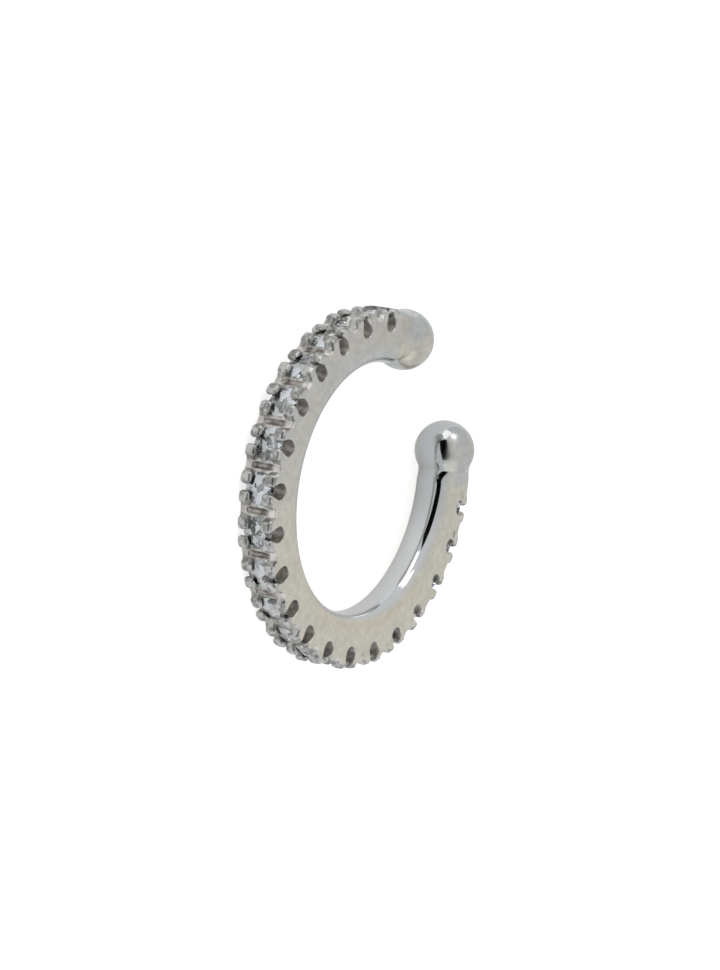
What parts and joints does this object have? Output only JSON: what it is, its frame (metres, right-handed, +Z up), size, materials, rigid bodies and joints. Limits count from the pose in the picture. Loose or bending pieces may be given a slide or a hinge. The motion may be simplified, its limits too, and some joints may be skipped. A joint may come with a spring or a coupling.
{
  "type": "ear cuff",
  "caption": "Open ring ear cuff with a ball on each end, a rounded inside and one row of round brilliants held by notched prongs over U-shaped side cuts.",
  "frame": {"origin": "below the ring's centre, on the surface that the cuff lies on", "axes": "+Z up along the ring's axis, which leans 1.9 degrees because the ball ends are wider than the band; +X towards the opening between the balls; +Y across it"},
  "size_m": [0.0125, 0.013, 0.0022],
  "materials": {
    "silver": "polished cast silver, softly satin on the flat sides",
    "stones": "clear faceted brilliants"
  },
  "bodies": {
    "root": {"cuff_band": "silver", "stone_row": "stones"}
  },
  "joints": []
}
